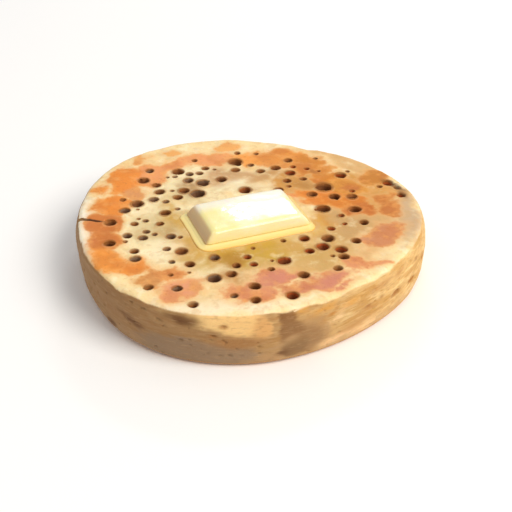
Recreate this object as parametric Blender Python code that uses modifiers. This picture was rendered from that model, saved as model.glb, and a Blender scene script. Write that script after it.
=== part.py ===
"""A buttered crumpet: a thick griddle cake full of bubble holes, with a pat of butter melting on it.

Run with: blender --background --python part.py
Metres, +Z up. The origin is on the underside, in the middle of the cake's width and depth.
Three separate solids: the crumpet, the skirt of melted butter that lies on it, and the pat that sits
in the skirt. Places on the cake are given from the middle of its outline, +X right and +Y back.
"""
import random
from math import atan2, cos, hypot, pi, radians, sin

import bmesh
import bpy
from mathutils import Matrix

MM = 0.001

# The cake
RADIUS = 50 * MM
HEIGHT = 16.5 * MM
WALL_BULGE = 1.1 * MM      # how far the wall swells past the rim, a third of the way down
BULGE_DEPTH = 0.36         # where it swells most, as a share of the height below the top
TOP_ROUNDING = 1.5 * MM
BASE_ROUNDING = 1.8 * MM
BASE_DRIFT = (0.9 * MM, -0.2 * MM)   # how far the base lies to the right of the top, and behind it
ROUNDING_STEPS = 4
WALL_STEPS = 5
AROUND = 120

# The outline, uneven because the batter was poured by hand: (lobes, share of the radius, bearing)
LOBES = ((2, 0.015, radians(-10)), (3, 0.037, radians(11)))
NOTCH_BEARING = radians(63)
NOTCH_RAMP = radians(20)
NOTCH_END = radians(3)
NOTCH_DEPTH = 1.5 * MM

# The bubble holes. The wide ones, in millimetres from the middle: right, back, width
WIDE_PITS = (
    (-3.4, 32.3, 4.6), (0.0, 13.5, 4.0), (-13.4, 18.3, 4.0), (-17.8, 19.7, 3.2),
    (-7.6, 20.5, 3.4), (-14.3, 11.5, 4.7), (-18.8, 13.2, 3.6), (-21.6, 25.4, 3.7),
    (-31.9, 19.4, 3.6), (-32.4, 5.0, 4.0), (-38.8, -5.8, 3.5), (-23.4, -0.2, 3.2),
    (-37.5, -17.2, 3.2), (-20.8, -13.3, 2.9), (-17.1, -21.1, 3.5), (-24.4, -38.5, 2.6),
    (-17.0, -38.7, 2.8), (-12.5, -46.1, 2.6), (-7.6, -34.0, 3.8), (3.2, -44.0, 2.8),
    (12.6, -41.7, 3.6), (11.0, -25.6, 3.9), (17.0, -14.4, 3.0), (22.0, -18.7, 3.8),
    (26.8, -20.2, 3.4), (23.6, -14.4, 3.6), (23.4, 2.3, 4.4), (32.9, 1.9, 3.5),
    (27.4, 9.5, 3.4), (24.3, 15.4, 5.2), (30.2, 22.8, 3.4), (44.6, 17.6, 3.4),
)
FINE_PITS = 76             # laid by rule between the wide ones
WIDEST_FINE = 3.3 * MM
NARROWEST_FINE = 1.1 * MM
PITS_FROM = 13 * MM        # the ring that they keep to, and where in it they crowd
PITS_MOST = 31 * MM
PITS_TO = 46 * MM
PIT_GAP = 0.6 * MM
PIT_SEED = 2147
DEPTH_PER_WIDTH = 1.5
MOUTH_SHARE = 0.2          # how much of a hole's depth lies above its widest level
PIT_SIDES = 8
FINE_PIT_SIDES = 6         # below FINE_WIDTH
FINE_WIDTH = 2 * MM
PIT_RINGS = 4
MOST_STRETCH = 1.18
MOST_LEAN = radians(8)

# The split in the rim, a thin lens that runs in from the left edge
SPLIT_AT = (-49.5 * MM, -3.9 * MM)
SPLIT_HEADING = radians(-10)
SPLIT_HALF = (7.5 * MM, 0.4 * MM, 3.0 * MM)
SPLIT_SIDES = 12

# The butter
GAP = 0.3 * MM             # left between touching pieces
BUTTER_AT = (1.0 * MM, -5.7 * MM)
BUTTER_HEADING = radians(21)
PAT_LENGTH = 32.8 * MM
PAT_WIDTH = 18.8 * MM
PAT_HEIGHT = 2.8 * MM
PAT_END_SLOPE = 2.6 * MM   # how far each end leans in at the top
PAT_SIDE_SLOPE = 1.0 * MM
PAT_EDGE = 0.9 * MM
SKIRT_REACH = 2.0 * MM     # how far the melted butter spreads past the pat
SKIRT_HEIGHT = 0.8 * MM
SKIRT_CORNER = 3.0 * MM
SKIRT_EDGE = 0.4 * MM
EDGE_STEPS = 3
CORNER_STEPS = 6


def material(name, colour, roughness, subsurface):
    """A food surface. Its colour is linear, and a share of the light goes through it."""
    made = bpy.data.materials.new(name)
    made.use_nodes = True
    shader = made.node_tree.nodes["Principled BSDF"]
    shader.inputs["Base Color"].default_value = (*colour, 1)
    shader.inputs["Roughness"].default_value = roughness
    shader.inputs["Subsurface Weight"].default_value = subsurface
    return made


def notch(bearing):
    """How far the rim is set back at a bearing, from 0 to 1: a slow ramp in, and a sudden step out."""
    past = bearing % (2 * pi) - NOTCH_BEARING
    if 0 <= past < NOTCH_RAMP:
        return 1 - past / NOTCH_RAMP
    if -NOTCH_END < past < 0:
        return 1 + past / NOTCH_END
    return 0


def reach(bearing):
    """How far the rim is from the middle of the outline, as a share of RADIUS."""
    lobes = sum(share * cos(count * (bearing - at)) for count, share, at in LOBES)
    return 1 + lobes - notch(bearing) * NOTCH_DEPTH / RADIUS


def box_middle(cake):
    """The middle of the cake's own box in plan, which the origin goes under."""
    across = [point.co.x for point in cake.data.vertices]
    deep = [point.co.y for point in cake.data.vertices]
    return (min(across) + max(across)) / 2, (min(deep) + max(deep)) / 2


def wall_profile():
    """(distance from the middle, height) down the outside of the cake, from its top face to its base."""
    points = []
    for step in range(ROUNDING_STEPS + 1):
        turn = pi / 2 * step / ROUNDING_STEPS
        points.append((RADIUS - TOP_ROUNDING * (1 - sin(turn)), HEIGHT - TOP_ROUNDING * (1 - cos(turn))))
    for step in range(1, WALL_STEPS + 1):
        height = HEIGHT - TOP_ROUNDING - (HEIGHT - TOP_ROUNDING - BASE_ROUNDING) * step / WALL_STEPS
        points.append((RADIUS, height))
    for step in range(1, ROUNDING_STEPS + 1):
        turn = pi / 2 * step / ROUNDING_STEPS
        points.append((RADIUS - BASE_ROUNDING * (1 - cos(turn)), BASE_ROUNDING * (1 - sin(turn))))
    return [(out + swelling(height), height) for out, height in points]


def swelling(height):
    """How far the wall stands out at a height, nothing at the top and the base."""
    depth = 1 - height / HEIGHT
    rise = depth / BULGE_DEPTH if depth < BULGE_DEPTH else (1 - depth) / (1 - BULGE_DEPTH)
    return WALL_BULGE * sin(pi / 2 * rise)


def turned_cake(collection):
    """The cake before its holes: the profile turned, closed above and below, and let out to the outline."""
    mesh = bpy.data.meshes.new("crumpet")
    points = wall_profile()
    mesh.from_pydata([(out, 0, height) for out, height in points],
                     [(step, step + 1) for step in range(len(points) - 1)], [])
    cake = bpy.data.objects.new("crumpet", mesh)
    collection.objects.link(cake)
    turn = cake.modifiers.new("turn", "SCREW")
    turn.axis = "Z"
    turn.steps = turn.render_steps = AROUND
    turn.use_merge_vertices = True
    turn.merge_threshold = 0.0001
    turned = bpy.data.meshes.new_from_object(cake.evaluated_get(bpy.context.evaluated_depsgraph_get()))
    cake.modifiers.remove(turn)
    cake.data = turned

    shape = bmesh.new()
    shape.from_mesh(turned)
    bmesh.ops.holes_fill(shape, edges=[edge for edge in shape.edges if edge.is_boundary], sides=0)
    bmesh.ops.recalc_face_normals(shape, faces=shape.faces)
    for face in shape.faces:
        face.smooth = len(face.verts) == 4
    for point in shape.verts:
        out = reach(atan2(point.co.y, point.co.x))
        down = 1 - point.co.z / HEIGHT
        point.co.x = point.co.x * out + BASE_DRIFT[0] * down
        point.co.y = point.co.y * out + BASE_DRIFT[1] * down
    shape.to_mesh(turned)
    shape.free()
    return cake


def under_butter(x, y, margin):
    """True within margin of the skirt of melted butter."""
    right = x - BUTTER_AT[0]
    back = y - BUTTER_AT[1]
    along = right * cos(BUTTER_HEADING) + back * sin(BUTTER_HEADING)
    across = back * cos(BUTTER_HEADING) - right * sin(BUTTER_HEADING)
    spread = SKIRT_REACH + margin
    return abs(along) < PAT_LENGTH / 2 + spread and abs(across) < PAT_WIDTH / 2 + spread


def crowded(x, y, width, pits):
    """True if a hole there would run into the butter or another hole."""
    if under_butter(x, y, width / 2 + PIT_GAP):
        return True
    return any(hypot(x - far_x, y - far_y) < (width + other) / 2 + PIT_GAP for far_x, far_y, other in pits)


def lay_pits():
    """(x, y, width) of every hole: the wide ones as listed, then finer and finer ones drawn between them."""
    draw = random.Random(PIT_SEED)
    pits = [(x * MM, y * MM, width * MM) for x, y, width in WIDE_PITS]
    for number in range(FINE_PITS):
        width = WIDEST_FINE + (NARROWEST_FINE - WIDEST_FINE) * number / (FINE_PITS - 1)
        x, y = BUTTER_AT
        while crowded(x, y, width, pits):
            bearing = draw.uniform(0, 2 * pi)
            distance = draw.triangular(PITS_FROM, PITS_TO, PITS_MOST)
            x = distance * cos(bearing)
            y = distance * sin(bearing)
        pits.append((x, y, width))
    return pits


def hollow(name, cutters, place, half, sides, turn):
    """An egg-shaped cutter with the half sizes given, turned and put in place."""
    mesh = bpy.data.meshes.new(name)
    shape = bmesh.new()
    bmesh.ops.create_uvsphere(shape, u_segments=sides, v_segments=PIT_RINGS, radius=1)
    bmesh.ops.scale(shape, vec=half, verts=shape.verts)
    shape.to_mesh(mesh)
    shape.free()
    mesh.shade_smooth()
    cutter = bpy.data.objects.new(name, mesh)
    cutter.matrix_world = Matrix.Translation(place) @ turn
    cutter.hide_render = True
    cutter.display_type = "WIRE"
    cutters.objects.link(cutter)


def pit_cutters(cutters):
    """One cutter for each bubble hole, each a little stretched, turned and leaning as it likes."""
    draw = random.Random(PIT_SEED)
    for number, (x, y, width) in enumerate(lay_pits()):
        stretch = draw.uniform(1, MOST_STRETCH)
        depth = width * DEPTH_PER_WIDTH
        half = (width / 2 * stretch, width / 2 / stretch, depth * (1 - MOUTH_SHARE))
        turn = Matrix.Rotation(draw.uniform(-MOST_LEAN, MOST_LEAN), 4, "X")
        turn = Matrix.Rotation(draw.uniform(0, pi), 4, "Z") @ turn
        sides = PIT_SIDES if width > FINE_WIDTH else FINE_PIT_SIDES
        hollow(f"pit_{number}", cutters, (x, y, HEIGHT - depth * MOUTH_SHARE), half, sides, turn)


def crumpet(parts, cutters):
    """The cake with its bubble holes and the split in its rim cut out."""
    cake = turned_cake(parts)
    pit_cutters(cutters)
    turn = Matrix.Rotation(SPLIT_HEADING, 4, "Z")
    hollow("rim_split", cutters, (*SPLIT_AT, HEIGHT), SPLIT_HALF, SPLIT_SIDES, turn)
    holes = cake.modifiers.new("bubble holes", "BOOLEAN")
    holes.operation = "DIFFERENCE"
    holes.operand_type = "COLLECTION"
    holes.collection = cutters
    holes.solver = "EXACT"
    cake.data.materials.append(material("griddled batter", (0.72, 0.42, 0.16), 0.75, 0.1))
    return cake


def slab(name, parts, base, slope, heights, edge_rounding, corner_rounding):
    """A block of butter between two heights, its top drawn in by slope, its corners and edges rounded."""
    mesh = bpy.data.meshes.new(name)
    shape = bmesh.new()
    bmesh.ops.create_cube(shape, size=1)
    low, high = heights
    for point in shape.verts:
        draw_in = slope if point.co.z > 0 else (0, 0)
        point.co.x *= base[0] - 2 * draw_in[0]
        point.co.y *= base[1] - 2 * draw_in[1]
        point.co.z = high if point.co.z > 0 else low
    upright = [edge for edge in shape.edges if edge.verts[0].co.z != edge.verts[1].co.z]
    bmesh.ops.bevel(shape, geom=upright, offset=corner_rounding, segments=CORNER_STEPS, profile=0.5,
                    affect="EDGES")
    rim = [edge for edge in shape.edges if min(point.co.z for point in edge.verts) > (low + high) / 2]
    bmesh.ops.bevel(shape, geom=rim, offset=edge_rounding, segments=EDGE_STEPS, profile=0.5,
                    affect="EDGES")
    shape.to_mesh(mesh)
    shape.free()
    mesh.shade_smooth()
    mesh.set_sharp_from_angle(angle=radians(50))
    made = bpy.data.objects.new(name, mesh)
    made.location = (*BUTTER_AT, 0)
    made.rotation_euler.z = BUTTER_HEADING
    parts.objects.link(made)
    return made


def melted_butter(parts):
    """The skirt of butter that has run out under the pat and lies on the cake."""
    base = (PAT_LENGTH + 2 * SKIRT_REACH, PAT_WIDTH + 2 * SKIRT_REACH)
    low = HEIGHT + GAP
    made = slab("melted_butter", parts, base, (0, 0), (low, low + SKIRT_HEIGHT), SKIRT_EDGE, SKIRT_CORNER)
    made.data.materials.append(material("melted butter", (0.92, 0.66, 0.16), 0.2, 0.3))
    return made


def butter_pat(parts):
    """The pat itself, its short ends leaning in like the facets of an ingot."""
    low = HEIGHT + GAP + SKIRT_HEIGHT + GAP
    heights = (low, low + PAT_HEIGHT)
    slope = (PAT_END_SLOPE, PAT_SIDE_SLOPE)
    made = slab("butter_pat", parts, (PAT_LENGTH, PAT_WIDTH), slope, heights, PAT_EDGE, PAT_EDGE)
    made.data.materials.append(material("butter", (0.96, 0.83, 0.36), 0.35, 0.3))
    return made


def build():
    """The three pieces, all hung from an empty under the middle of the cake's outline."""
    for thing in list(bpy.data.objects):
        bpy.data.objects.remove(thing)
    parts = bpy.data.collections.new("buttered_crumpet")
    cutters = bpy.data.collections.new("cutters")
    bpy.context.scene.collection.children.link(parts)
    bpy.context.scene.collection.children.link(cutters)
    cake = crumpet(parts, cutters)
    middle = bpy.data.objects.new("outline_middle", None)
    parts.objects.link(middle)
    across, deep = box_middle(cake)
    middle.location = (-across, -deep, 0)
    for piece in (cake, melted_butter(parts), butter_pat(parts)):
        piece.parent = middle
    for cutter in cutters.objects:
        cutter.parent = middle


build()
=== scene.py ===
"""A buttered crumpet on a pale floor, in soft studio light.

The solids come from the frame. Here the crumpet gets its crumb, lumpy bubble holes, toasted patches and
butter stain, and the butter gets its soft, melting form. Metres, +Z up, +Y away from the camera.
"""
import random
from math import cos, exp, pi, radians, sin

import bmesh
import bpy
import numpy as np
from mathutils import Matrix, Vector, noise
from mathutils.bvhtree import BVHTree


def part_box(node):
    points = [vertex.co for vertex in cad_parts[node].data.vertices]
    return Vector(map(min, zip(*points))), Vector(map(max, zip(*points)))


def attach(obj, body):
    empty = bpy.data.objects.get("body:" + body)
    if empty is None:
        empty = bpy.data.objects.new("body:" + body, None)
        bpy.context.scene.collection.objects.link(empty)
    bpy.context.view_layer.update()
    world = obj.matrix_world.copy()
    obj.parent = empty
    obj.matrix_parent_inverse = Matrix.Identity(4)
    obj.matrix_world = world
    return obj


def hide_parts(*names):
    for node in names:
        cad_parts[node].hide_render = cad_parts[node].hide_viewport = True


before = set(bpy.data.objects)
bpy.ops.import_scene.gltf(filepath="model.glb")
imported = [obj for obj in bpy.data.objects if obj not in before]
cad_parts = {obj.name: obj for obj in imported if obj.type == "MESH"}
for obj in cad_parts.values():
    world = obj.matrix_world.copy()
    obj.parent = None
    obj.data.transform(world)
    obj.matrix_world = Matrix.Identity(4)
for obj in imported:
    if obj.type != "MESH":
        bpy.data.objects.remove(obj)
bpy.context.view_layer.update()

MM = 0.001

# The butter, as the frame gives it
PAT_LOW, PAT_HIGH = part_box("butter_pat")
PAT_MIDDLE = (PAT_LOW + PAT_HIGH) / 2
BUTTER_HEADING = radians(21)
PAT_HALF = (16.4 * MM, 9.4 * MM)                  # half its length and width
PAT_FROM_MIDDLE = Vector((1.0, -5.7, 0)) * MM     # from the middle of the crumpet's outline

# The crumpet, as the frame gives it. Places on it are in millimetres from the middle of its outline:
# right, then back.
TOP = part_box("crumpet")[1].z
MIDDLE = Vector((PAT_MIDDLE.x, PAT_MIDDLE.y, 0)) - PAT_FROM_MIDDLE
RIM = 50 * MM              # how far its uneven outline is from the middle, on average
DEGREE = radians(1) * RIM  # one degree of bearing, measured round the wall

# The camera, placed from the middle of the crumpet's outline at its top
CAMERA_FROM_TOP = Vector((3.3, -220.1, 130.1)) * MM
CAMERA_TILT = radians(90 - 33.54)     # from straight down
CAMERA_LENS = 60.8         # millimetres, like the sensor
CAMERA_SENSOR = 36

# The crumpet's mesh
WELD = 0.001 * MM
WIDEST_HOLE = 8 * MM       # a wider hollow is no bubble hole
SPACING = 0.34 * MM        # how far apart its points are
MOST_FACES = 190_000
CAKE_SOFTENED = 2          # rounds of smoothing
CAKE_SEED = 5

# The lumpy egg that is cut out for each hole
EGG_WIDE = 1.05            # its half width, in half widths of the plain hole that it covers
EGG_TALL = 0.95            # its half height, in depths of that hole
EGG_SUNK = 0.25            # how far down its middle is, in depths
EGG_LUMPS = 0.3            # how far its lumps stand out, as a share of its size
EGG_LUMP_SCALE = 1.3
EGG_LEAN = 0.2             # radians at most
NOISE_REACH = 50           # its noise is drawn from anywhere so far from the origin
TWINS = 0.35               # how many holes have run into a smaller one
NARROWEST_TWINNED = 1.2 * MM          # half width
TWIN_AWAY = 0.95           # in half widths of the larger one, like its size
TWIN_SIZE = (0.4, 0.6)

# Small burst holes in the rim: right, back, width (mm)
RIM_HOLES = ((47.0, 14.7, 2.2), (47.6, 9.7, 2.4), (41.6, 15.2, 1.6))

# The thin split in the left rim
SPLIT_AT = Vector((-49.5, -3.9, 0)) * MM
SPLIT_HEADING = radians(-10)
SPLIT_HALF = (9.8 * MM, 0.6 * MM, 3.2 * MM)       # half its length and width, and its depth
SPLIT_DARK = 0.3           # how far its painted shade in the middle reaches, in half widths
SPLIT_FADES = (0.0, 0.35)

# The crumb's relief. Rows of lumps give their size (mm), height (mm) and seed.
SWELL = ((11, 0.34, 1), (4, 0.16, 2))
SKIN = ((1.5, 0.05, 6),)
CRAGS = ((1.3, 0.45, 8),)             # where it is charred
WALL_STREAKS = ((12, 0.28, 3), (4, 0.08, 4))
STREAK_FLATNESS = 4
PIT_DEPTH = 0.40 * MM
PIT_SIZE = 2.2 * MM
PIT_FLATNESS = 2.6
PIT_SEED = 5
PITTED = (0.50, 0.66)      # the noise at which a pit begins and is full
SAG = 0.45 * MM            # how far the middle of the top has sunk under the rim
LIP_HEIGHT = 0.14 * MM

# The edges of the patches: how they wander, as rows of lumps whose seed is added to each direction's own,
# what share of it the charred patches and the wall have, and how far the tones run into each other
WANDER = ((6, 3.0, 0), (2.4, 1.1, 1))
WANDER_SEEDS = (11, 13)
CHAR_WANDER = (0.3, 0.3)
WALL_WANDER = (0.4, 0.15)
TOAST_SOFTNESS = 0.8 * MM
STAIN_SOFTNESS = 3 * MM
WALL_SOFTNESS = 1 * MM
EDGE_STEEPNESS = 3
EXP_LIMIT = 30             # keeps the exponential in range
HARDLY_ANY = 1e-9          # so that nothing is divided by 0 where no patch lies

# Where each part of the crumpet begins and ends, or begins and is full, out from the middle
CROWN = (RIM * 0.55, RIM * 0.93)      # where the top rises to its rim
OUTER = (RIM * 0.90, RIM * 0.95)
HOLES_END = (RIM * 0.97, RIM * 1.0)

# The same by how far its surface faces up or down
UPWARD = (0.3, 0.9)
SIDEWAYS = (0.3, 0.8)
LEVEL = (0.62, 0.86)
DOWNWARD = (-0.2, 0.7)

# The same by height above the floor, and then by depth under the top
LIFTED = (0.3 * MM, 1.5 * MM)         # no relief below the first
FOOT = (2.5 * MM, 6.5 * MM)
UNDERSIDE = (0.2 * MM, 2.0 * MM)
# depths under the top where a hole's colour begins and is full: browner crumb, partly painted shade, and
# darkening with depth as painted shade
HOLE_DARK = (0.25 * MM, 1.7 * MM)
WALL_BEGINS = (1.0 * MM, 1.9 * MM)
MARKED_DEPTH = 4 * MM                 # no hole or split is coloured deeper than this

# The same by distance from the pat
CLEAR_OF_BUTTER = (1.5 * MM, 5 * MM)
BUTTERED = (2 * MM, 5.5 * MM)

# Round a hole, in half widths from its middle: where it ends, and the middle and width of what rings it: its
# raised lip, a painted highlight on its near lip and painted shade round its mouth
HOLE_ENDS = (1.25, 1.7)
RAISED_LIP = (1.25, 0.22)
LIP_HIGHLIGHT = (1.3, 0.14)
HALO = (1, 0.36)
NEAR_SIDE = 0.2            # how much nearer the front the painted highlight on the lip is

LEAST_SHADED_BEARING = radians(30)          # where the wall's painted shade is lightest

# The holes' colour: how much of it is drawn at random, and how much turns redder from left to right
TEMPER_DRAWN = 0.6
TEMPER_PLACED = 0.4
REDDER = (-25 * MM, 25 * MM)

# Toasted patches: right, back, half length, half width (mm), heading (degrees), tone.
# A later one lies over an earlier one.
ORANGE = "EA8520"
DEEP = "CC6E20"
AMBER = "D07C16"
PEACH = "F2AC5E"
ROSE = "EC9A5E"
SALMON = "DC8C64"
PINK = "D2806A"
TOASTED = (
    (-24.5, 29.5, 8.0, 3.6, 32, ROSE), (-31.0, 23.0, 8.0, 5.4, 72, ROSE),
    (-38.0, 19.0, 9.4, 5.4, 98, ORANGE), (-44.6, 12.8, 2.4, 1.6, 70, ORANGE),
    (-26.8, 22.0, 4.4, 3.2, 60, ROSE), (-34.4, 10.6, 4.6, 3.6, 80, "D68E54"),
    (-40.0, 3.6, 6.4, 4.8, 96, ORANGE), (-41.2, -6.8, 6.0, 5.2, 94, DEEP),
    (-39.8, -16.4, 6.6, 4.7, 106, DEEP), (-37.4, -25.6, 7.4, 4.6, 128, "F4942C"),
    (-29.6, -28.4, 4.8, 3.4, 172, ORANGE), (-23.8, -35.4, 4.8, 2.8, 112, "CC884A"),
    (-19.0, -32.8, 5.0, 3.4, 18, "DA8646"), (-15.4, -39.2, 7.4, 4.0, 28, "E69A72"),
    (-11.2, -37.4, 2.4, 1.8, 0, "E0985C"),
    (-25.6, 37.6, 3.4, 2.7, 20, PEACH), (-34.6, 32.2, 2.6, 2.0, 60, PEACH),
    (-12.0, 34.0, 10.0, 4.6, 6, ROSE), (-6.6, 41.4, 4.8, 2.8, 16, PEACH),
    (4.0, 34.0, 8.0, 4.6, 0, "F29A3C"), (13.0, 35.4, 8.6, 5.0, -10, "E28A2C"),
    (12.6, 30.6, 5.0, 2.8, 0, "DC8A32"), (27.0, 27.6, 3.4, 3.0, -40, "DC9440"),
    (20.8, 29.4, 8.0, 6.0, -38, AMBER), (25.0, 20.0, 6.6, 4.8, -50, AMBER),
    (21.0, 26.0, 2.6, 2.0, 0, "B06A1C"),
    (30.5, 15.0, 7.4, 5.0, -6, "D48C30"), (22.6, 9.6, 9.0, 5.0, -6, "E07E22"),
    (31.0, 6.0, 6.6, 4.6, -26, "D67A22"), (34.6, 1.0, 4.6, 3.4, 0, "C66A20"),
    (32.8, 14.2, 2.6, 2.0, 0, "C27030"), (42.2, 8.4, 4.0, 3.0, 20, "CC7E34"),
    (43.2, 1.0, 5.2, 4.2, 78, "C2702E"), (40.6, 20.6, 5.4, 4.2, -42, "C47C2A"),
    (38.8, -13.4, 8.4, 4.8, 42, "CE8358"), (34.2, -14.0, 3.6, 1.8, 20, "D08C64"),
    (30.6, -26.2, 3.2, 2.3, 6, SALMON), (35.8, -26.6, 2.8, 1.4, 10, SALMON),
    (2.0, -40.2, 6.6, 4.2, 0, SALMON), (-0.6, -43.6, 2.2, 1.6, 60, SALMON),
    (5.4, -35.6, 4.0, 2.2, 20, "D4866A"), (10.4, -37.4, 4.0, 1.6, -6, "D48A66"),
    (9.6, -33.0, 6.6, 2.8, 8, PINK), (16.5, -39.2, 7.4, 2.2, 12, PINK),
    (22.8, -34.0, 7.0, 3.0, 30, PINK), (26.4, -37.4, 2.6, 1.4, 24, PINK),
)
CHARRED = (
    (45.6, 17.0, 3.4, 1.6, -42, "4A2C1A"), (47.8, 10.2, 2.6, 1.1, -68, "6A4632"),
    (48.2, 13.4, 1.8, 0.8, -50, "5A3826"),
)
CRAGGY = (-0.8 * MM, 0.5 * MM)        # how far inside a charred patch its crags begin and are full

# Soft tints of butter and thin crumb, in rows like those of the toasted patches. The pale row at the left rim
# is painted light, and the grey-tan row at the right rim painted shade, on the rounded rim edge.
OLIVE = "C69C38"
STRAW = "D2A660"
TAN = "DDB074"
KHAKI = "DEC896"
STAINED = (
    (36.0, -3.5, 9.0, 7.0, 0, "D2A56C"), (36.0, 31.0, 14.0, 6.0, -48, TAN),
    # the first row here is painted shade on the right rim's rounded edge, where the lamp falls
    (48.0, -3.0, 5.0, 16.0, -6, "CDAC86"), (47.0, 11.0, 3.4, 6.0, 0, "C49A70"),
    (34.0, 12.0, 14.0, 13.0, 0, "D2923E"), (-25.5, -8.0, 6.5, 11.0, 0, KHAKI),
    (-18.0, 10.0, 7.0, 6.0, 0, KHAKI), (-4.0, 21.5, 10.0, 6.4, 4, "D0A678"),
    (-21.0, -2.0, 3.2, 9.0, 20, "D2A44E"), (-16.0, -20.0, 8.0, 6.0, 110, STRAW),
    (21.5, -25.0, 13.0, 6.5, 30, STRAW), (6.0, -28.4, 9.0, 3.0, 4, "D4AA6A"),
    (27.0, -6.0, 11.0, 9.0, 70, "C89C62"), (3.0, 20.5, 8.0, 4.0, 8, "CB9A64"),
    (15.5, 17.0, 12.0, 7.4, 98, "CE8E38"), (7.6, 25.0, 4.6, 2.4, 0, "C48E50"),
    (1.5, -22.5, 17.0, 6.0, 16, OLIVE), (9.5, -20.0, 7.0, 4.0, 24, "C89E32"),
    (21.6, -5.0, 3.4, 3.2, 0, "CE8E2C"), (-3.4, -25.0, 4.8, 3.6, 90, "B07A10"),
    (-3.0, 17.4, 3.4, 2.6, 0, "FFF3CC"), (-16.2, 16.4, 4.6, 4.2, 0, "B28C5E"),
    # the first row here is painted light on the left rim's rounded edge, turned from the lamp
    (-46.5, -8.0, 4.0, 20.0, 8, "FFF3DC"), (-6.0, -47.0, 24.0, 3.6, 2, "FFEBC6"),
    (-24.5, -21.5, 6.5, 4.0, 0, "FFEDC2"), (-2.8, -33.6, 5.2, 4.0, 0, "C69254"),
    (16.6, -18.4, 6.6, 4.0, 8, "CC9E50"), (-6.6, 27.2, 3.4, 2.6, 0, "BE9060"),
    (-8.4, -43.0, 3.0, 1.8, 0, "E8C894"), (18.4, 18.0, 3.4, 2.6, 0, "B47A32"),
    (21.0, -13.6, 4.0, 3.0, 0, "D0A25C"), (-21.5, -10.5, 3.6, 3.0, 0, "BE9C62"),
    (34.0, -22.0, 4.0, 3.0, 0, "DDB078"), (24.5, 39.0, 6.0, 3.4, -32, "E2B070"),
    (2.4, 14.4, 2.8, 1.8, 0, "CFAE80"), (26.0, -17.4, 3.4, 3.0, 0, "C8984E"),
)

# Marks on the wall: bearing (degrees), height, half length, half height (mm), slant (degrees), tone
SCORCH = "7C502A"
GOLD = "D09648"
STREAK = "BE8A50"
WALL_MARKS = (
    (256.0, 4.4, 17.0, 4.6, 0, "967A5E"), (263.0, 14.8, 12.0, 2.3, -3, "F8CE8A"),
    (270.0, 13.4, 5.6, 3.0, 0, "F2C682"), (275.6, 12.6, 2.6, 3.2, 0, "DCA666"),
    (268.5, 8.6, 6.0, 1.9, 0, "A47444"), (305.0, 5.0, 8.0, 1.4, 6, "B98850"),
    (290.4, 7.6, 6.4, 6.4, 0, "B28A5A"), (288.6, 6.4, 5.8, 4.4, 0, "9A744C"),
    (283.4, 14.4, 2.0, 3.8, 0, SCORCH), (283.8, 9.4, 3.4, 4.4, 0, "88603A"),
    (285.4, 5.0, 4.0, 3.4, 0, "866440"), (284.0, 8.0, 1.8, 0.9, 10, "B48E62"),
    (281.6, 3.6, 2.4, 0.9, 0, "6A4426"), (279.0, 6.0, 2.6, 0.7, 8, "B48E62"),
    (235.5, 9.4, 3.6, 1.3, -6, "6E4626"), (253.0, 14.4, 4.6, 1.6, -4, "663E1E"),
    (225.0, 3.0, 2.8, 1.1, -8, "6E4626"), (203.0, 4.0, 2.8, 1.4, 0, SCORCH),
    (287.6, 15.8, 1.8, 1.0, 0, GOLD), (294.6, 14.2, 3.4, 0.8, 8, GOLD),
    (297.4, 12.2, 1.8, 0.7, 30, "B4742E"), (303.0, 12.6, 3.6, 0.7, 14, GOLD),
    (300.0, 10.8, 2.0, 0.8, 30, "F4CE9A"), (318.0, 13.4, 3.0, 0.7, 6, STREAK),
    (327.0, 13.6, 2.6, 0.7, 8, STREAK), (313.0, 8.6, 4.4, 0.8, 4, STREAK),
    (309.0, 3.4, 6.0, 1.2, 4, "F0C48C"), (298.4, 3.2, 3.6, 1.2, 6, "ECC08A"),
)

# Open pores in the wall: bearing (degrees), height, half length, half height (mm)
PORES = (
    (3.0, 5.8, 1.4, 0.6), (336.0, 6.8, 1.6, 0.65), (338.6, 12.4, 0.9, 0.35), (325.2, 8.0, 1.9, 0.65),
    (317.8, 9.8, 0.7, 0.3), (311.6, 9.4, 1.3, 0.4), (345.0, 9.4, 1.1, 0.45), (354.0, 3.6, 1.0, 0.4),
)
MORE_PORES = 22            # laid by rule round the rest of the wall, between these limits
PORE_LIMITS = ((8, 268), (4, 14), (0.8, 1.6), (0.35, 0.6))
PORE_DEPTH = 0.9 * MM
PORE_SHADE = 1.5           # how much wider than the pore itself its browned edge is
PORE_SEED = 12


def linear(code):
    """A colour as a shader takes it, from its sRGB hex code."""
    parts = [int(code[at:at + 2], 16) / 255 for at in (0, 2, 4)]
    return (*(part / 12.92 if part <= 0.04045 else ((part + 0.055) / 1.055) ** 2.4 for part in parts), 1)


def add(tree, kind, sockets=None, **settings):
    """A new node of that kind. sockets gives its inputs, by name or number, values or outputs to link."""
    node = tree.nodes.new(kind)
    for name, value in settings.items():
        setattr(node, name, value)
    for name, value in (sockets or {}).items():
        if isinstance(value, bpy.types.NodeSocket):
            tree.links.new(value, node.inputs[name])
        else:
            node.inputs[name].default_value = value
    return node


def in_scene(name, data):
    """A new object in the scene that holds a mesh, a lamp or a camera."""
    made = bpy.data.objects.new(name, data)
    bpy.context.scene.collection.objects.link(made)
    return made


def settled(thing):
    """Applies thing's modifiers to its mesh."""
    graph = bpy.context.evaluated_depsgraph_get()
    mesh = bpy.data.meshes.new_from_object(thing.evaluated_get(graph))
    thing.modifiers.clear()
    old = thing.data
    thing.data = mesh
    bpy.data.meshes.remove(old)
    mesh.name = thing.name


def finish(piece, surface, node):
    """Gives a piece its material and puts it in place of a node."""
    piece.data.shade_smooth()
    piece.data.materials.clear()
    piece.data.materials.append(surface)
    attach(piece, "root")
    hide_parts(node)


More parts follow.
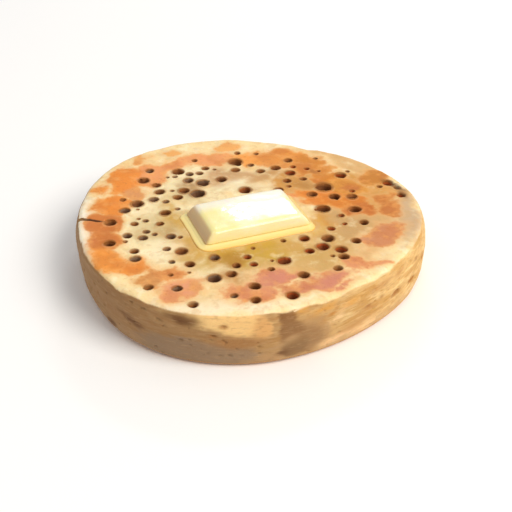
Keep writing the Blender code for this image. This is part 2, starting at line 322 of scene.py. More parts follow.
def points_of(mesh):
    """(places, normals) of a mesh's points, one row each."""
    places = np.empty(len(mesh.vertices) * 3, np.float32)
    normals = np.empty(len(mesh.vertices) * 3, np.float32)
    mesh.vertices.foreach_get("co", places)
    mesh.vertex_normals.foreach_get("vector", normals)
    return places.reshape(-1, 3).astype(float), normals.reshape(-1, 3).astype(float)


def put_points(mesh, places):
    """Moves a mesh's points to those places."""
    mesh.vertices.foreach_set("co", places.astype(np.float32).ravel())
    mesh.update()


def keep(mesh, name, values):
    """Stores a number, or three, at each point of a mesh under that name."""
    wide = values.ndim == 2
    layer = mesh.attributes.new(name, "FLOAT_VECTOR" if wide else "FLOAT", "POINT")
    layer.data.foreach_set("vector" if wide else "value", values.astype(np.float32).ravel())


def blotches(places, size, seed):
    """Smooth noise from -1 to 1 at each place, with lumps of that size."""
    drift = Vector((seed * 7.3, seed * 3.1, seed * 5.7))
    return np.array([noise.noise(Vector(place) / size + drift) for place in places.tolist()])


def lumps(places, rows):
    """How far the lumps of all those rows lift each place: rows of lump size (mm), height (mm) and seed."""
    return sum(blotches(places, size * MM, seed) * height * MM for size, height, seed in rows)


def smooth_step(value, low, high):
    """0 below low, 1 above high, and an even ease between."""
    share = np.clip((value - low) / (high - low), 0, 1)
    return share * share * (3 - 2 * share)


def ridge(value, middle, width):
    """1 at middle, falling away on both sides of it over that width."""
    return np.exp(-((value - middle) / width) ** 2)


def turned(right, back, heading):
    """(along, across) a heading, of what lies so far right and back."""
    return right * cos(heading) + back * sin(heading), back * cos(heading) - right * sin(heading)


def from_middle(places):
    """(right, back, out) of each place, in plan, from the middle of the crumpet's outline."""
    right = places[:, 0] - MIDDLE.x
    back = places[:, 1] - MIDDLE.y
    return right, back, np.hypot(right, back)


def along_butter(places):
    """(along, across) of each place in the pat's own directions, from its middle."""
    return turned(places[:, 0] - PAT_MIDDLE.x, places[:, 1] - PAT_MIDDLE.y, BUTTER_HEADING)


def butter_distance(places):
    """How far each place is from the pat's footprint, in plan, 0 under it."""
    along, across = along_butter(places)
    return np.hypot(np.maximum(np.abs(along) - PAT_HALF[0], 0), np.maximum(np.abs(across) - PAT_HALF[1], 0))


# ---- The crumpet's form -------------------------------------------------------------------------


def find_holes(solid):
    """(middle of the mouth, half width, depth) of every bubble hole, read from the solid's own mesh."""
    shape = bmesh.new()
    shape.from_mesh(solid.data)
    bmesh.ops.remove_doubles(shape, verts=shape.verts, dist=WELD)
    seen = set()
    holes = []
    for start in shape.verts:
        if start in seen or start.co.z > TOP - WELD:
            continue
        seen.add(start)
        waiting = [start]
        mouth = []
        lowest = TOP
        while waiting:
            point = waiting.pop()
            lowest = min(lowest, point.co.z)
            for edge in point.link_edges:
                other = edge.other_vert(point)
                if other.co.z > TOP - WELD:
                    mouth.append(other.co.xy)
                elif other not in seen:
                    seen.add(other)
                    waiting.append(other)
        middle = sum(mouth, Vector((0, 0))) / len(mouth)
        half = sum((point - middle).length for point in mouth) / len(mouth)
        if half < WIDEST_HOLE / 2:
            holes.append((middle, half, TOP - lowest))
    shape.free()
    for right, back, width in RIM_HOLES:
        holes.append((MIDDLE.xy + Vector((right, back)) * MM, width / 2 * MM, width * MM))
    return holes


def lumpy_hole(shape, middle, half, depth, draw):
    """Adds a lumpy egg to shape, through the top, for a bubble hole, and sometimes another for its twin."""
    twin = Matrix.Rotation(draw.uniform(0, 2 * pi), 2) @ Vector((half * TWIN_AWAY, 0))
    bubbles = [(Vector((0, 0)), half)]
    if draw.random() < TWINS and half > NARROWEST_TWINNED:
        bubbles.append((twin, half * draw.uniform(*TWIN_SIZE)))
    for away, size in bubbles:
        deep = depth * size / half
        place = Vector((middle.x + away.x, middle.y + away.y, TOP - deep * EGG_SUNK))
        drift = Vector([draw.uniform(-NOISE_REACH, NOISE_REACH) for axis in range(3)])
        lean = Matrix.Rotation(draw.uniform(-EGG_LEAN, EGG_LEAN), 3, "X")
        lean = lean @ Matrix.Rotation(draw.uniform(-EGG_LEAN, EGG_LEAN), 3, "Y")
        for point in bmesh.ops.create_icosphere(shape, subdivisions=3, radius=1)["verts"]:
            egg = point.co * (1 + EGG_LUMPS * noise.noise(point.co * EGG_LUMP_SCALE + drift))
            egg.x *= size * EGG_WIDE
            egg.y *= size * EGG_WIDE
            egg.z *= deep * EGG_TALL
            point.co = place + lean @ egg


def every_pore():
    """The rows of all the wall's pores, those laid by rule among them."""
    draw = random.Random(PORE_SEED)
    more = [tuple(draw.uniform(*limits) for limits in PORE_LIMITS) for pore in range(MORE_PORES)]
    return [*PORES, *more]


def wall_pores(shape, solid):
    """Adds a flat lens to shape for each pore, where the wall is at that bearing and height."""
    wall = BVHTree.FromPolygons([point.co for point in solid.data.vertices],
                                [face.vertices for face in solid.data.polygons])
    for bearing, height, half_length, half_height in every_pore():
        outward = Vector((cos(radians(bearing)), sin(radians(bearing)), 0))
        start = MIDDLE + outward * RIM * 2 + Vector((0, 0, height * MM))
        place = wall.ray_cast(start, -outward)[0]
        size = Matrix.Diagonal((PORE_DEPTH, half_length * MM, half_height * MM, 1))
        lens = Matrix.Translation(place) @ Matrix.Rotation(radians(bearing), 4, "Z") @ size
        bmesh.ops.create_icosphere(shape, subdivisions=2, radius=1, matrix=lens)


def risen_cake(solid, holes):
    """A fine mesh of the solid with every hole made lumpy and every edge softened."""
    cake = in_scene("crumpet_crumb", solid.data.copy())
    shape = bmesh.new()
    shape.from_mesh(cake.data)
    bmesh.ops.remove_doubles(shape, verts=shape.verts, dist=WELD)
    shape.to_mesh(cake.data)
    shape.free()

    draw = random.Random(CAKE_SEED)
    shape = bmesh.new()
    for middle, half, depth in holes:
        lumpy_hole(shape, middle, half, depth, draw)
    split_at = Matrix.Translation(MIDDLE + SPLIT_AT + Vector((0, 0, TOP)))
    split = split_at @ Matrix.Rotation(SPLIT_HEADING, 4, "Z") @ Matrix.Diagonal((*SPLIT_HALF, 1))
    bmesh.ops.create_icosphere(shape, subdivisions=4, radius=1, matrix=split)
    wall_pores(shape, solid)
    cutter = in_scene("hole_cutter", bpy.data.meshes.new("hole_cutter"))
    shape.to_mesh(cutter.data)
    shape.free()

    cut = cake.modifiers.new("holes", "BOOLEAN")
    cut.operation = "DIFFERENCE"
    cut.solver = "MANIFOLD"
    cut.object = cutter
    fine = cake.modifiers.new("crumb", "REMESH")
    fine.mode = "VOXEL"
    fine.voxel_size = SPACING
    soft = cake.modifiers.new("soft edges", "SMOOTH")
    soft.factor = 0.5
    soft.iterations = CAKE_SOFTENED
    settled(cake)
    bpy.data.objects.remove(cutter)
    return cake


def near_hole(places, holes):
    """(how far the nearest hole's middle is, in half widths of that hole; which hole) for each place."""
    nearest = np.full(len(places), np.inf)
    which = np.zeros(len(places), int)
    for number, (middle, half, depth) in enumerate(holes):
        away = np.hypot(places[:, 0] - middle.x, places[:, 1] - middle.y) / half
        closer = away < nearest
        nearest[closer] = away[closer]
        which[closer] = number
    return nearest, which


def roughen(cake, holes):
    """Lifts the crumb, the lips of the holes and the streaks of the wall out of the smooth mesh."""
    places, normals = points_of(cake.data)
    right, back, out = from_middle(places)
    upward = smooth_step(normals[:, 2], *UPWARD)
    sideways = 1 - smooth_step(np.abs(normals[:, 2]), *SIDEWAYS)
    clear = smooth_step(butter_distance(places), *CLEAR_OF_BUTTER)

    lips = ridge(near_hole(places, holes)[0], *RAISED_LIP) * LIP_HEIGHT
    sag = SAG * (1 - smooth_step(out, *CROWN))
    charred = patch_field(right, back, CHARRED, (0, 0), TOAST_SOFTNESS)[0]
    crags = smooth_step(charred, *CRAGGY) * lumps(places, CRAGS)
    lift = upward * ((lumps(places, SWELL) - sag) * clear + lumps(places, SKIN) + lips + crags)

    streaks = lumps(places * np.array((1, 1, STREAK_FLATNESS)), WALL_STREAKS)
    pits = blotches(places * np.array((1, 1, PIT_FLATNESS)), PIT_SIZE, PIT_SEED)
    lift += sideways * smooth_step(out, *OUTER) * (streaks - PIT_DEPTH * smooth_step(pits, *PITTED))

    lift *= smooth_step(places[:, 2], *LIFTED)
    places = places + normals * lift[:, None]
    places[:, 2] = np.maximum(places[:, 2], 0)
    put_points(cake.data, places)


def patch_field(along, across, rows, wander, softness, unit=MM):
    """(how far inside the nearest patch each place is, in metres, below 0 outside; its tone).

    Places and patches are on one sheet, along and across. unit is what the first number of a row counts.
    wander shifts the places, so that no patch is a plain oval. A later patch is laid over the earlier
    ones, and their tones run into each other over softness.
    """
    along = along + wander[0]
    across = across + wander[1]
    inside = np.full(len(along), -np.inf)
    tone = np.zeros((len(along), 3))
    weight = np.full(len(along), HARDLY_ANY)
    for at, up, half_length, half_width, slant, code in rows:
        long_way, short_way = turned(along - at * unit, across - up * MM, radians(slant))
        share = np.hypot(long_way / (half_length * MM), short_way / (half_width * MM))
        depth = (1 - share) * min(half_length, half_width) * MM
        cover = 1 / (1 + np.exp(-np.clip(depth / softness * EDGE_STEEPNESS, -EXP_LIMIT, EXP_LIMIT)))
        inside = np.maximum(inside, depth)
        tone = tone * (1 - cover)[:, None] + cover[:, None] * np.array(linear(code)[:3])
        weight = weight * (1 - cover) + cover
    return inside, tone / weight[:, None]


def mark_patches(mesh, places, right, back, bearing):
    """Notes on the mesh where it is toasted, charred or stained, and where its wall is marked."""
    wander = [lumps(places, [(size, height, seed + more) for size, height, more in WANDER])
              for seed in WANDER_SEEDS]
    less = [shift * share for shift, share in zip(wander, CHAR_WANDER)]
    wall_wander = [shift * share for shift, share in zip(wander, WALL_WANDER)]
    wall = (bearing * RIM, places[:, 2])
    fields = (
        ("toasted", "toast_tone", patch_field(right, back, TOASTED, wander, TOAST_SOFTNESS)),
        ("charred", "char_tone", patch_field(right, back, CHARRED, less, TOAST_SOFTNESS)),
        ("stained", "stain_tone", patch_field(right, back, STAINED, wander, STAIN_SOFTNESS)),
        ("marked", "mark_tone", patch_field(*wall, WALL_MARKS, wall_wander, WALL_SOFTNESS, DEGREE)),
    )
    for name, tone_name, (inside, tone) in fields:
        keep(mesh, name, inside / MM)
        keep(mesh, tone_name, tone)
    browned = [(*at, half_length * PORE_SHADE, half_height * PORE_SHADE, 0, SCORCH)
               for *at, half_length, half_height in every_pore()]
    keep(mesh, "pored", patch_field(*wall, browned, (0, 0), WALL_SOFTNESS, DEGREE)[0] / MM)


def mark_holes(mesh, places, out, holes):
    """Notes on the mesh what is in and round a hole, and gives how far each place is in one, 0 to 1."""
    away, which = near_hole(places, holes)
    not_outside = 1 - smooth_step(out, *HOLES_END)
    in_hole = 1 - smooth_step(away, *HOLE_ENDS)
    # Painted shade: a hole's colour deepens with depth under the top
    keep(mesh, "hole", smooth_step(TOP - places[:, 2], *HOLE_DARK) * not_outside * in_hole)
    # Painted shade round each hole's mouth
    keep(mesh, "halo", ridge(np.maximum(away, 1), *HALO) * not_outside)

    # Painted highlight: a pale ring on the near side of each hole's lip
    nearer = np.array([(middle.x, middle.y - half * NEAR_SIDE, half) for middle, half, depth in holes])
    x, y, half_width = nearer[which].T
    from_nearer = np.hypot(places[:, 0] - x, places[:, 1] - y) / half_width
    keep(mesh, "lip", ridge(from_nearer, *LIP_HIGHLIGHT) * not_outside * (places[:, 1] < y))

    draw = random.Random(CAKE_SEED)
    redder = smooth_step(np.array([middle.x for middle, half, depth in holes]), *REDDER)
    temper = TEMPER_DRAWN * np.array([draw.random() for hole in holes]) + TEMPER_PLACED * redder
    keep(mesh, "temper", temper[which])
    return in_hole


def mark_cake(mesh, holes):
    """Notes on the mesh where it is toasted, buttered, holed, wall or underside, for its material."""
    places, normals = points_of(mesh)
    right, back, out = from_middle(places)
    bearing = np.arctan2(back, right) % (2 * pi)
    mark_patches(mesh, places, right, back, bearing)
    in_hole = mark_holes(mesh, places, out, holes)

    under_top = TOP - places[:, 2]
    shallow = under_top < MARKED_DEPTH
    down_split, off_split = turned(right - SPLIT_AT.x, back - SPLIT_AT.y, SPLIT_HEADING)
    off_middle = np.maximum(np.abs(off_split / SPLIT_HALF[1]) - SPLIT_DARK, 0)
    in_split = 1 - np.hypot(down_split / SPLIT_HALF[0], off_middle)
    # Painted shade down the middle of the split
    keep(mesh, "split", smooth_step(in_split, *SPLIT_FADES) * shallow)
    over_edge = np.maximum(smooth_step(under_top, *WALL_BEGINS), 1 - smooth_step(normals[:, 2], *LEVEL))
    keep(mesh, "wall", smooth_step(out, *OUTER) * over_edge * (1 - in_hole * shallow))
    # Painted shade: the wall is coloured darker the further its bearing turns from the lit side
    keep(mesh, "shaded", 0.5 - 0.5 * np.cos(bearing - LEAST_SHADED_BEARING))
    keep(mesh, "rim", smooth_step(out, *CROWN))
    keep(mesh, "foot", 1 - smooth_step(places[:, 2], *FOOT))
    facing_down = smooth_step(-normals[:, 2], *DOWNWARD)
    keep(mesh, "underside", (1 - smooth_step(places[:, 2], *UNDERSIDE)) * facing_down)
    keep(mesh, "buttered", 1 - smooth_step(butter_distance(places), *BUTTERED))


def crumpet():
    """The cake in place of its plain solid."""
    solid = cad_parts["crumpet"]
    holes = find_holes(solid)
    cake = risen_cake(solid, holes)
    roughen(cake, holes)
    fewer = cake.modifiers.new("fewer faces", "DECIMATE")
    fewer.ratio = min(1, MOST_FACES / (2 * len(cake.data.polygons)))      # its faces have four sides so far
    settled(cake)
    mark_cake(cake.data, holes)
    cake.data.shade_smooth()
    cake.data.materials.clear()
    cake.data.materials.append(griddled_batter())
    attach(cake, "root")
    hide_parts("crumpet")


# ---- The butter's form --------------------------------------------------------------------------

# The pat. Heights in pairs are shares of its own height, where something begins and is full.
PAT_SPACING = 0.22 * MM
PAT_SOFTENED = 16          # rounds of smoothing
PAT_DENTS = ((8, 0.12, 21), (2.6, 0.03, 22))
DENTED = (0.1, 0.6)
PAT_SINK = 0.5 * MM        # how far its foot goes down into the melted butter
SUNK = (0.0, 0.5)
PAT_CROWN = 0.35 * MM      # how much higher the middle of its top is
CROWNED = (0.5, 1.0)
PAT_FLARE = 0.5 * MM       # how far its softened foot spreads
FLARE_HEIGHT = 0.16        # a share of its height
PAT_MELTED = 0.035         # the share of its length that its ends have lost
END_FACING = (0.3, 0.75)   # how squarely a face looks to the left end or the front to be given its painted shade
FRONT_FACING = (0.3, 0.8)
END_FADES = 0.35           # how much weaker the left end's painted shade is at the top
WARMED = (0.1, 0.75)       # towards the left, in half lengths
GLARE_BACK = (0.0, 0.75)     # towards the back, in half widths, where the painted highlight begins and is full
GLARE_HEIGHT = (0.5, 0.9)

# The skirt of melted butter
SKIRT_AROUND = 300         # points in each ring
SKIRT_STEPS = 14           # rings from the pat to the edge
SKIRT_LEFT = 1.6 * MM      # how far it reaches past the pat on each side
SKIRT_RIGHT = 0.7 * MM
SKIRT_FRONT = 2.1 * MM
SKIRT_BACK = 1.3 * MM
SKIRT_WAVE = 0.3 * MM      # how far its edge wanders in and out
SKIRT_WAVE_SIZE = 5 * MM
SKIRT_RIPPLE = 0.04 * MM   # how far its surface wanders up and down
SKIRT_RIPPLE_SIZE = 2.5 * MM
SKIRT_RIPPLED = 0.2 * MM   # no ripple under this height
SKIRT_THICK = 0.5 * MM
SKIRT_CLIMB = 0.35 * MM    # how far the liquid butter climbs the pat
SKIRT_CLIMB_SHARE = 0.16   # how quickly that fades out, as a share of its reach
SKIRT_CORNER = 1.6 * MM
SKIRT_TUCK = 0.02 * MM     # how far its edge goes down into the crumb, and then its base
SKIRT_UNDER = 0.10 * MM
SKIRT_INSIDE = -3.0        # how far in under the pat its first and last rings lie (mm)
STRAIGHT = 0.35            # the share of a quarter ring on each of its two straight parts
BENT = 0.3                 # and on the corner between them
FARTHEST_DRIFT = 9         # how far off its noise may be drawn


def butter_pat():
    """The pat: a cut block gone soft, its edges rounded, its top crowned and its foot spreading."""
    pat = in_scene("butter_pat_soft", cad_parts["butter_pat"].data.copy())
    fine = pat.modifiers.new("fine", "REMESH")
    fine.mode = "VOXEL"
    fine.voxel_size = PAT_SPACING
    soft = pat.modifiers.new("soft edges", "SMOOTH")
    soft.factor = 0.5
    soft.iterations = PAT_SOFTENED
    settled(pat)

    places, normals = points_of(pat.data)
    along, across = along_butter(places)
    height = (places[:, 2] - PAT_LOW.z) / (PAT_HIGH.z - PAT_LOW.z)
    dome = (1 - (along / PAT_HALF[0]) ** 2) * (1 - (across / PAT_HALF[1]) ** 2)
    dents = lumps(places, PAT_DENTS) * smooth_step(height, *DENTED)
    places[:, 2] += smooth_step(height, *CROWNED) * PAT_CROWN * np.maximum(dome, 0)
    places += normals * dents[:, None]
    flare = PAT_FLARE * np.exp(-np.maximum(height, 0) / FLARE_HEIGHT)
    places += normals * np.array((1, 1, 0)) * flare[:, None]
    places[:, 0] -= along * PAT_MELTED * cos(BUTTER_HEADING)
    places[:, 1] -= along * PAT_MELTED * sin(BUTTER_HEADING)
    places[:, 2] -= PAT_SINK * (1 - smooth_step(height, *SUNK))
    put_points(pat.data, places)

    facing_along, facing_across = turned(normals[:, 0], normals[:, 1], BUTTER_HEADING)
    keep(pat.data, "height", height)
    # Painted shade: the left end, turned from the lamp, and the front face are coloured darker and warmer
    keep(pat.data, "shaded_end", smooth_step(-facing_along, *END_FACING) * (1 - END_FADES * height))
    keep(pat.data, "shaded_front", smooth_step(-facing_across, *FRONT_FACING))
    keep(pat.data, "warmed", smooth_step(-along / PAT_HALF[0], *WARMED))
    # Painted highlight: the back of the top, high up, is coloured whiter as glare
    towards_back = smooth_step(across / PAT_HALF[1], *GLARE_BACK)
    keep(pat.data, "glared_back", towards_back * smooth_step(height, *GLARE_HEIGHT))
    finish(pat, butter(), "butter_pat")


def skirt_outline():
    """(place, outward direction) round the pat's foot, its corners rounded."""
    half = [size - SKIRT_CORNER for size in PAT_HALF]
    quarter = SKIRT_AROUND // 4
    points = []
    for corner, (side_x, side_y) in enumerate(((1, 1), (-1, 1), (-1, -1), (1, -1))):
        for step in range(quarter):
            share = step / quarter
            bend = min(max((share - STRAIGHT) / BENT, 0), 1)
            turn = (corner + bend) * pi / 2
            way = Vector((cos(turn), sin(turn), 0))
            first = 1 - min(share / STRAIGHT, 1)
            last = max((share - STRAIGHT - BENT) / STRAIGHT, 0)
            slide_x = last if corner % 2 == 0 else first
            slide_y = first if corner % 2 == 0 else last
            place = Vector((side_x * half[0] * (1 - slide_x), side_y * half[1] * (1 - slide_y), 0))
            points.append((place + way * SKIRT_CORNER, way))
    return points


def melted_butter():
    """The melted butter: a low puddle that climbs the pat's foot and ends in a rounded, wandering edge."""
    turn = Matrix.Rotation(BUTTER_HEADING, 3, "Z")
    middle = Vector((PAT_MIDDLE.x, PAT_MIDDLE.y, TOP))
    draw = random.Random(CAKE_SEED)
    drift = Vector((draw.uniform(0, FARTHEST_DRIFT), draw.uniform(0, FARTHEST_DRIFT), 0))

    # Rings, each a share of the way from the pat's foot to the edge, and a height over the crumb
    sections = [(SKIRT_INSIDE, SKIRT_THICK + SKIRT_CLIMB)]
    for step in range(SKIRT_STEPS):
        share = sin(step / SKIRT_STEPS * pi / 2)
        climb = SKIRT_CLIMB * exp(-share / SKIRT_CLIMB_SHARE)
        sections.append((share, SKIRT_THICK * (1 - share ** 3) ** 0.5 + climb))
    sections.append((1.0, -SKIRT_TUCK))
    sections.append((0.97, -SKIRT_UNDER))
    sections.append((SKIRT_INSIDE, -SKIRT_UNDER))

    shape = bmesh.new()
    thin = shape.verts.layers.float.new("thin")
    painted_light_leftward = shape.verts.layers.float.new("painted_light_leftward")
    rings = []
    for share, height in sections:
        ring = []
        for place, way in skirt_outline():
            reach = (SKIRT_LEFT if way.x < 0 else SKIRT_RIGHT) * way.x ** 2
            reach += (SKIRT_FRONT if way.y < 0 else SKIRT_BACK) * way.y ** 2
            reach += SKIRT_WAVE * noise.noise(place / SKIRT_WAVE_SIZE + drift)
            ripple = SKIRT_RIPPLE * noise.noise(place / SKIRT_RIPPLE_SIZE + drift) * (height > SKIRT_RIPPLED)
            outward = share * MM if share == SKIRT_INSIDE else reach * share
            spot = turn @ (place + way * outward) + middle
            point = shape.verts.new(spot + Vector((0, 0, height + ripple)))
            point[thin] = max(share, 0)
            # Painted light: how far left a point lies, to lighten the skirt's shaded left and darken its lit
            # right
            point[painted_light_leftward] = 0.5 - 0.5 * way.x
            ring.append(point)
        rings.append(ring)
    for upper, lower in zip(rings, rings[1:]):
        for step in range(len(upper)):
            after = (step + 1) % len(upper)
            shape.faces.new((upper[step], lower[step], lower[after], upper[after]))
    shape.faces.new(rings[0])
    shape.faces.new(reversed(rings[-1]))
    bmesh.ops.recalc_face_normals(shape, faces=shape.faces)
    mesh = bpy.data.meshes.new("melted_butter_skirt")
    shape.to_mesh(mesh)
    shape.free()
    finish(in_scene("melted_butter_skirt", mesh), liquid_butter(), "melted_butter")


# ---- The materials ------------------------------------------------------------------------------


def blank(name, settings):
    """(material, its nodes, its shader) of a new material with those settings."""
    material = bpy.data.materials.new(name)
    material.use_nodes = True
    shader = material.node_tree.nodes["Principled BSDF"]
    for socket, value in settings.items():
        shader.inputs[socket].default_value = value
    return material, material.node_tree, shader


def grains(tree, rows):
    """Lumpy patterns from 0 to 1, by name, from rows of name, lump size (mm), detail and flatness."""
    place = add(tree, "ShaderNodeTexCoord").outputs["Object"]
    made = {}
    for name, size, detail, flat in rows:
        at = add(tree, "ShaderNodeMapping", {"Vector": place, "Scale": (1, 1, flat)}).outputs["Vector"]
        sockets = {"Vector": at, "Scale": 1 / (size * MM), "Detail": detail}
        made[name] = add(tree, "ShaderNodeTexNoise", sockets).outputs["Fac"]
    return made


def coats(tree, colour, layers):
    """colour under each layer in turn: a pattern, where it starts and is full, its strength, its tone."""
    for pattern, start, full, strength, tone in layers:
        sockets = {"Value": pattern, "From Min": start, "From Max": full, "To Max": strength}
        share = add(tree, "ShaderNodeMapRange", sockets, interpolation_type="SMOOTHSTEP").outputs["Result"]
        tone = linear(tone) if isinstance(tone, str) else tone
        colour = add(tree, "ShaderNodeMix", {0: share, 6: colour, 7: tone}, data_type="RGBA").outputs[2]
    return colour


def griddled_batter():
    """Griddled yeast batter: a matt skin, browned in patches over pale, soft, faintly see-through crumb."""
    material, tree, shader = blank("griddled_batter", {
        "Subsurface Weight": 0.12, "Subsurface Radius": (2.4 * MM, 1.2 * MM, 0.6 * MM),
        "Subsurface Scale": 1.0, "Specular IOR Level": 0.22})
    note = {name: add(tree, "ShaderNodeAttribute", attribute_name=name).outputs["Fac"]
            for name in ("toasted", "charred", "stained", "marked", "pored", "hole", "halo", "lip", "temper",
                         "rim", "split", "wall", "shaded", "foot", "underside", "buttered")}
    tone = {name: add(tree, "ShaderNodeAttribute", attribute_name=name).outputs["Vector"]
            for name in ("toast_tone", "char_tone", "stain_tone", "mark_tone")}
    grain = grains(tree, (
        ("clouds", 9, 2, 1), ("lumps", 3.4, 3, 1), ("curds", 2.2, 3, 1), ("crumbs", 1.1, 3, 1),
        ("fine", 0.45, 2, 1), ("broad smears", 14, 3, 5), ("smears", 6, 2, 5), ("streaks", 3, 2, 6),
        ("flecks", 1.8, 2, 4)))
    # How far inside a patch a place is, its edge made ragged by a grain over so many millimetres
    edge = {}
    for name, rag, over in (("toasted", "curds", 2.8), ("stained", "lumps", 4.0), ("marked", "smears", 3.0)):
        sockets = {0: grain[rag], 1: over, 2: note[name]}
        edge[name] = add(tree, "ShaderNodeMath", sockets, operation="MULTIPLY_ADD").outputs["Value"]

    skin = coats(tree, linear("F6E3B4"), (
        (note["rim"], 0.0, 1.0, 1.0, "FBE0A8"),
        (grain["clouds"], 0.45, 0.7, 0.7, "F4CF90"),
        (grain["lumps"], 0.5, 0.7, 0.8, "FFF1C8"),
        (grain["crumbs"], 0.52, 0.75, 0.24, "DDB070"),
        (edge["stained"], 0.2, 4.6, 0.94, tone["stain_tone"]),
        (note["buttered"], 0.0, 1.0, 0.5, "D9A840"),
        (grain["lumps"], 0.54, 0.76, 0.42, "FBE6B4"),
        (grain["curds"], 0.52, 0.32, 0.34, "CFA264")))
    toast = coats(tree, tone["toast_tone"], (
        (grain["clouds"], 0.44, 0.64, 0.45, "C46A28"),
        (grain["lumps"], 0.48, 0.7, 0.45, "F2A650"),
        (edge["toasted"], 3.4, 1.2, 0.35, "F4B464"),
        (grain["crumbs"], 0.54, 0.74, 0.35, "B86426")))
    # Inside a hole: browner crumb, partly painted shade, that darkens further with depth as painted shade
    hollow = coats(tree, linear("B0723E"), (
        (note["temper"], 0.6, 0.85, 0.9, "C8602A"),
        (note["temper"], 0.35, 0.15, 1.0, "9A7C62"),
        (note["hole"], 0.55, 1.0, 0.7, "7C4C2C")))
    place = add(tree, "ShaderNodeTexCoord").outputs["Object"]
    from_origin = add(tree, "ShaderNodeVectorMath", {0: place}, operation="LENGTH").outputs["Value"]
    griddled = coats(tree, linear("9C5E2A"), (
        (grain["broad smears"], 0.42, 0.62, 0.7, "BC8040"),
        (grain["clouds"], 0.45, 0.68, 0.6, "8A4E22"),
        (grain["lumps"], 0.5, 0.72, 0.35, "C48C4C"),
        (grain["crumbs"], 0.55, 0.75, 0.35, "7A4420"),
        (from_origin, RIM * 0.82, RIM * 0.99, 0.65, "D09A58")))
    wall = coats(tree, linear("DDB474"), (
        (grain["broad smears"], 0.44, 0.64, 0.75, "C69248"),
        (grain["smears"], 0.5, 0.68, 0.7, "F4D292"),
        (grain["streaks"], 0.52, 0.72, 0.45, "B07E3C"),
        # painted shade on the left and front of the wall, away from the lamp
        (note["shaded"], 0.15, 1.0, 0.88, "966E48"),
        (note["foot"], 0.0, 1.0, 0.35, "C4A27C"),
        (edge["marked"], 0.8, 2.4, 0.88, tone["mark_tone"]),
        (grain["streaks"], 0.46, 0.28, 0.35, "BA9468"),
        (grain["flecks"], 0.56, 0.74, 0.25, "8E6236"),
        (note["pored"], -0.3, 0.5, 0.7, "9A6430")))
    colour = coats(tree, skin, (
        (edge["toasted"], -1.0, 1.4, 0.45, "EBB473"),
        (edge["toasted"], 0.8, 2.1, 0.9, toast),
        (note["charred"], -0.8, 1.2, 0.8, tone["char_tone"]),
        # painted highlight on the near lip of each hole
        (note["lip"], 0.0, 1.0, 0.15, "FFE2B0"),
        # painted shade round the mouth of each hole
        (note["halo"], 0.0, 1.0, 0.8, "96602C"),
        (note["hole"], 0.0, 0.5, 1.0, hollow),
        # painted shade in the split
        (note["split"], 0.0, 0.6, 0.9, "6B4A34"),
        (note["wall"], 0.0, 1.0, 1.0, wall),
        (note["underside"], 0.0, 1.0, 1.0, griddled)))
    tree.links.new(colour, shader.inputs["Base Color"])

    wet = {"Value": note["buttered"], "From Min": 0.3, "From Max": 1.0, "To Min": 0.66, "To Max": 0.4}
    tree.links.new(add(tree, "ShaderNodeMapRange", wet).outputs["Result"], shader.inputs["Roughness"])
    pitted = add(tree, "ShaderNodeMix", {0: 0.4, 2: grain["crumbs"], 3: grain["fine"]}).outputs[0]
    relief = add(tree, "ShaderNodeBump", {"Height": pitted, "Strength": 0.5, "Distance": 0.3 * MM})
    tree.links.new(relief.outputs["Normal"], shader.inputs["Normal"])
    return material


def butter():
    """Salted butter: pale, close and waxy, so light goes a little way in and the corners glow."""
    material, tree, shader = blank("soft_butter", {
        "Subsurface Weight": 0.3, "Subsurface Radius": (3 * MM, 2.0 * MM, 1.0 * MM), "Subsurface Scale": 1.0,
        "IOR": 1.46, "Roughness": 0.22, "Coat Weight": 0.4, "Coat Roughness": 0.1})
    note = {name: add(tree, "ShaderNodeAttribute", attribute_name=name).outputs["Fac"]
            for name in ("height", "shaded_end", "shaded_front", "warmed", "glared_back")}
    grain = grains(tree, (("clouds", 6, 2, 1), ("smears", 1.6, 2, 1)))
    colour = coats(tree, linear("FFF2B4"), (
        (grain["clouds"], 0.4, 0.65, 1.0, "FFF8D0"),
        (note["warmed"], 0.0, 1.0, 0.8, "FFEC9C"),
        # painted highlight along the back of the top
        (note["glared_back"], 0.0, 1.0, 0.75, "FFF9EA"),
        # painted shade on the front face
        (note["shaded_front"], 0.0, 1.0, 0.6, "FADCA6"),
        (note["height"], 0.45, 0.0, 0.8, "FFDE86"),
        # painted shade on the left end, lighter towards its top
        (note["shaded_end"], 0.0, 1.0, 0.72, "C89A72")))
    tree.links.new(colour, shader.inputs["Base Color"])
    relief = add(tree, "ShaderNodeBump", {"Height": grain["smears"], "Strength": 0.15, "Distance": 0.12 * MM})
    tree.links.new(relief.outputs["Normal"], shader.inputs["Normal"])
    return material


def liquid_butter():
    """Melted butter: clear gold fat, glossy, deeper in colour where it thins over the crumb."""
    material, tree, shader = blank("melted_butter", {
        "Roughness": 0.26, "IOR": 1.46, "Subsurface Weight": 0.2, "Subsurface Scale": 1.0,
        "Subsurface Radius": (0.8 * MM, 0.7 * MM, 0.4 * MM), "Coat Weight": 0.15, "Coat Roughness": 0.15})
    note = {name: add(tree, "ShaderNodeAttribute", attribute_name=name).outputs["Fac"]
            for name in ("thin", "painted_light_leftward")}
    colour = coats(tree, linear("FFEA9E"), (
        (note["thin"], 0.2, 0.85, 0.8, "FFDA7C"),
        # painted light: the left of the skirt, in the pat's shade, made lighter, and the right, in the lamp,
        # darker
        (note["painted_light_leftward"], 0.5, 1.0, 0.8, "FFE69A"),
        (note["painted_light_leftward"], 0.5, 0.0, 0.4, "E8B65C"),
        (note["thin"], 0.78, 1.0, 0.8, "EFAC44")))
    tree.links.new(colour, shader.inputs["Base Color"])
    return material


# ---- The studio ---------------------------------------------------------------------------------

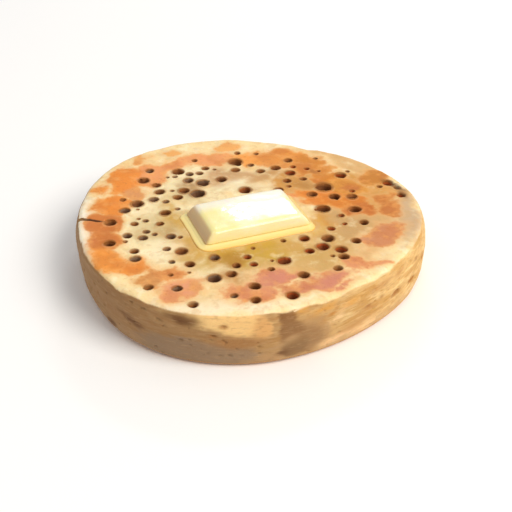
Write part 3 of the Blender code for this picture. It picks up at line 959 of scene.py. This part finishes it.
WHITE = "FFFFFF"
FLOOR_WIDTH = 6
FLOOR_DROP = 0.05 * MM     # so that the underside and the floor are never in one plane
SKY_STRENGTH = 0.52


def studio():
    """A pale floor, a white sky, a big soft lamp in front on the right and a long one behind for gloss."""
    bpy.ops.mesh.primitive_plane_add(size=FLOOR_WIDTH, location=(0, 0, -FLOOR_DROP))
    floor = bpy.context.object
    floor.name = "floor"
    # Matt paper: it gives back no gloss, so nothing but a soft shadow shows on it
    paper = blank("matt_white_paper", {"Base Color": linear(WHITE), "Roughness": 0.9})[0]
    floor.data.materials.append(paper)

    world = bpy.data.worlds.new("white_sky")
    bpy.context.scene.world = world
    world.use_nodes = True
    world.node_tree.nodes["Background"].inputs["Color"].default_value = linear(WHITE)
    world.node_tree.nodes["Background"].inputs["Strength"].default_value = SKY_STRENGTH

    lamp("key", bearing=-30, elevation=45, away=1.4, size=(0.8, 0.8), power=15.5, code="FFF8EE")
    lamp("gloss", bearing=84, elevation=32.5, away=0.8, size=(0.22, 0.05), power=0.7, code=WHITE)


def lamp(name, bearing, elevation, away, size, power, code):
    """A soft oblong lamp that faces the crumpet from a bearing and elevation, in degrees."""
    data = bpy.data.lights.new(name, "AREA")
    data.shape = "RECTANGLE"
    data.size, data.size_y = size
    data.energy = power
    data.color = linear(code)[:3]
    made = in_scene(name, data)
    level = away * cos(radians(elevation))
    height = away * sin(radians(elevation))
    made.location = (level * cos(radians(bearing)), level * sin(radians(bearing)), height)
    made.rotation_euler = (-made.location).to_track_quat("-Z", "Y").to_euler()


def camera():
    """The camera, level from side to side and tilted down at the crumpet."""
    data = bpy.data.cameras.new("camera")
    data.lens = CAMERA_LENS
    data.sensor_width = CAMERA_SENSOR
    made = in_scene("camera", data)
    made.location = MIDDLE + Vector((0, 0, TOP)) + CAMERA_FROM_TOP
    made.rotation_euler = (CAMERA_TILT, 0, 0)
    bpy.context.scene.camera = made


camera()
studio()
crumpet()
butter_pat()
melted_butter()

bpy.context.scene.view_settings.view_transform = "Standard"
